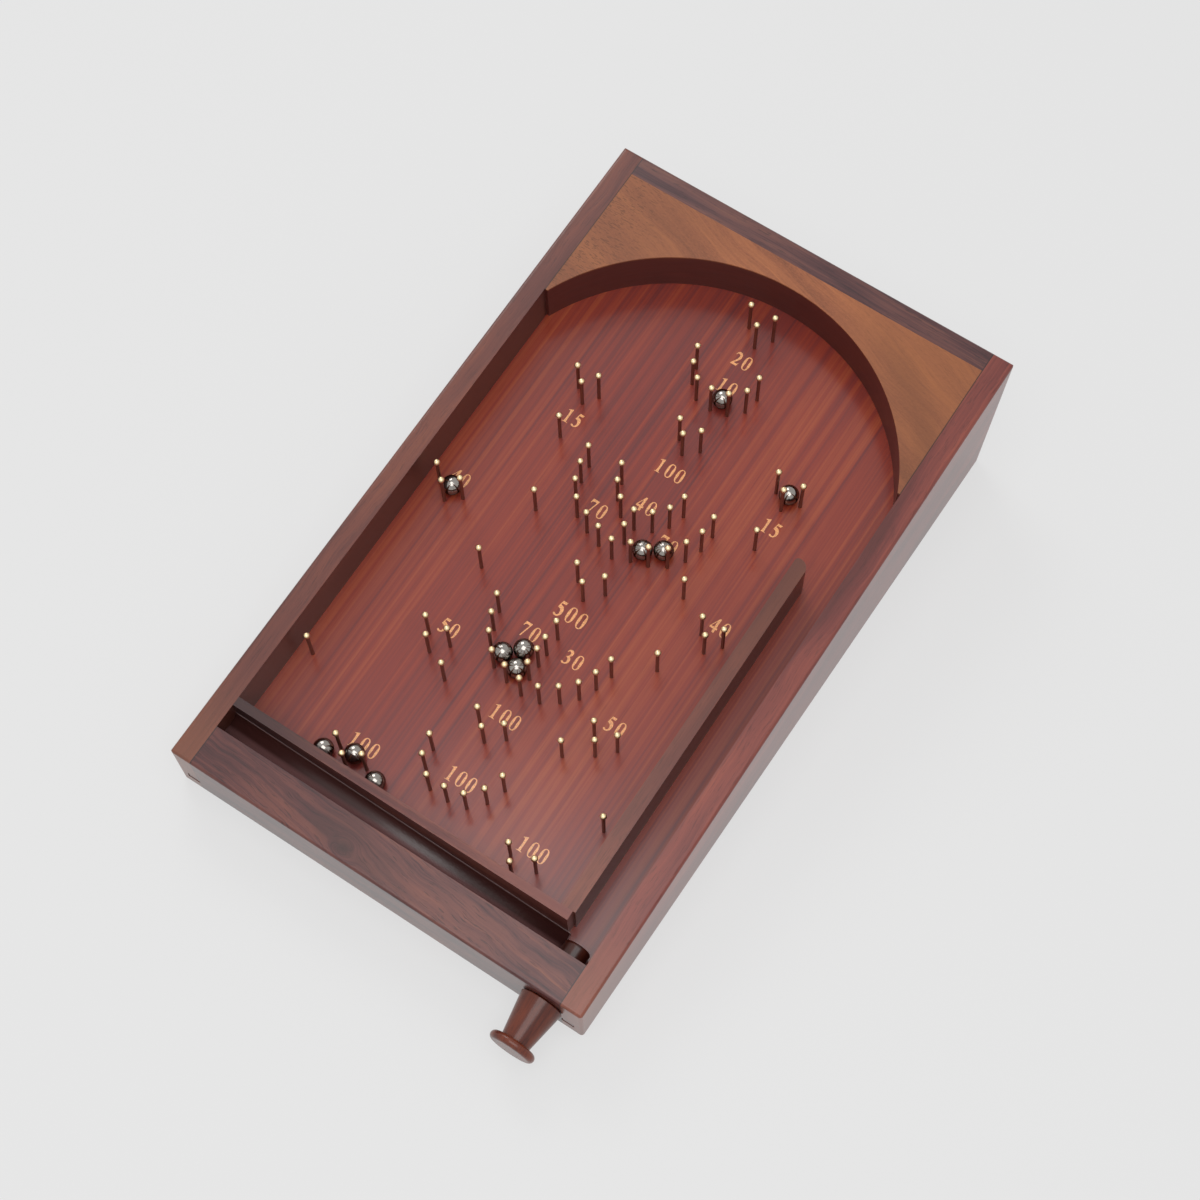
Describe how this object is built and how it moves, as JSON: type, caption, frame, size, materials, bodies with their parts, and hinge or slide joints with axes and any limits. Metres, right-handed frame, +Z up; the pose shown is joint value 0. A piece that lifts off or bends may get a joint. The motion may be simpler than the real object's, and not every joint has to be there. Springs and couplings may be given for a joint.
{
  "type": "bagatelle board game",
  "caption": "Tabletop bagatelle board: a sloping wooden case with a half-round arch, brass pins in scoring pockets, a shooting lane, a ball trough and a sprung plunger.",
  "frame": {"origin": "centre of the level base's underside", "axes": "+Y from the plunger end towards the raised back rail, +Z up, +X towards the shooting lane"},
  "size_m": [0.203, 0.3631, 0.0799],
  "materials": {
    "rail_wood": "satin lacquered rosewood",
    "front_wood": "satin lacquered figured rosewood",
    "back_wood": "satin lacquered dark rosewood",
    "base_wood": "plain plywood",
    "dowel_wood": "plain beech",
    "screw_steel": "plain steel",
    "playfield_wood": "high gloss red mahogany",
    "arch_wood": "satin dark maroon",
    "veneer_wood": "satin speckled veneer",
    "lane_wood": "satin brown hardwood",
    "stop_wood": "satin grey-brown hardwood",
    "trough_wood": "gloss near-black brown",
    "knob_wood": "gloss turned hardwood",
    "rod_steel": "polished rod",
    "spring_steel": "plain spring wire",
    "pin_brass": "polished brass",
    "ball_steel": "mirror polished steel",
    "numeral_paint": "gold paint under gloss lacquer"
  },
  "bodies": {
    "board": {"left_rail": "rail_wood", "right_rail": "rail_wood", "front_rail": "front_wood", "back_rail": "back_wood", "base_panel": "base_wood", "base_screws": "screw_steel", "frame_dowels": "dowel_wood", "playfield": "playfield_wood", "arch_block": "arch_wood", "arch_veneer": "veneer_wood", "lane_rail": "lane_wood", "ball_stop": "stop_wood", "ball_trough": "trough_wood", "plunger_spring": "spring_steel", "pins_20": "pin_brass", "pins_10": "pin_brass", "pins_15_left": "pin_brass", "pins_15_right": "pin_brass", "pins_100_top": "pin_brass", "pins_cup_outer": "pin_brass", "pins_cup_inner": "pin_brass", "pins_40_left": "pin_brass", "pins_40_right": "pin_brass", "pins_500": "pin_brass", "pins_70_30": "pin_brass", "pins_50_left": "pin_brass", "pins_50_right": "pin_brass", "pins_100_mid": "pin_brass", "pins_100_cup": "pin_brass", "pins_100_left": "pin_brass", "pins_100_right": "pin_brass", "pins_single": "pin_brass"},
    "plunger": {"plunger_knob": "knob_wood", "plunger_rod": "rod_steel", "plunger_striker": "trough_wood"},
    "ball_1": {"ball_1": "ball_steel"},
    "ball_2": {"ball_2": "ball_steel"},
    "ball_3": {"ball_3": "ball_steel"},
    "ball_4": {"ball_4": "ball_steel"},
    "ball_5": {"ball_5": "ball_steel"},
    "ball_6": {"ball_6": "ball_steel"},
    "ball_7": {"ball_7": "ball_steel"},
    "ball_8": {"ball_8": "ball_steel"},
    "ball_9": {"ball_9": "ball_steel"},
    "ball_10": {"ball_10": "ball_steel"},
    "ball_11": {"ball_11": "ball_steel"}
  },
  "joints": [
    {"name": "plunger_slide", "type": "slide", "parent": "board", "child": "plunger", "axis": [0, -0.9912, -0.1323], "range_m": [0, 0.007], "stiffness_N_per_m": 150, "springref_m": -0.008, "deforming": ["plunger_spring"]},
    {"name": "ball_1_lift", "type": "slide", "parent": "board", "child": "ball_1", "axis": [0, -0.1323, 0.9912], "range_m": [0, 0.04]},
    {"name": "ball_2_lift", "type": "slide", "parent": "board", "child": "ball_2", "axis": [0, -0.1323, 0.9912], "range_m": [0, 0.04]},
    {"name": "ball_3_lift", "type": "slide", "parent": "board", "child": "ball_3", "axis": [0, -0.1323, 0.9912], "range_m": [0, 0.04]},
    {"name": "ball_4_lift", "type": "slide", "parent": "board", "child": "ball_4", "axis": [0, -0.1323, 0.9912], "range_m": [0, 0.04]},
    {"name": "ball_5_lift", "type": "slide", "parent": "board", "child": "ball_5", "axis": [0, -0.1323, 0.9912], "range_m": [0, 0.04]},
    {"name": "ball_6_lift", "type": "slide", "parent": "board", "child": "ball_6", "axis": [0, -0.1323, 0.9912], "range_m": [0, 0.04]},
    {"name": "ball_7_lift", "type": "slide", "parent": "board", "child": "ball_7", "axis": [0, -0.1323, 0.9912], "range_m": [0, 0.04]},
    {"name": "ball_8_lift", "type": "slide", "parent": "board", "child": "ball_8", "axis": [0, -0.1323, 0.9912], "range_m": [0, 0.04]},
    {"name": "ball_9_lift", "type": "slide", "parent": "board", "child": "ball_9", "axis": [0, -0.1323, 0.9912], "range_m": [0, 0.04]},
    {"name": "ball_10_lift", "type": "slide", "parent": "board", "child": "ball_10", "axis": [0, -0.1323, 0.9912], "range_m": [0, 0.04]},
    {"name": "ball_11_lift", "type": "slide", "parent": "board", "child": "ball_11", "axis": [0, -0.1323, 0.9912], "range_m": [0, 0.04]}
  ]
}
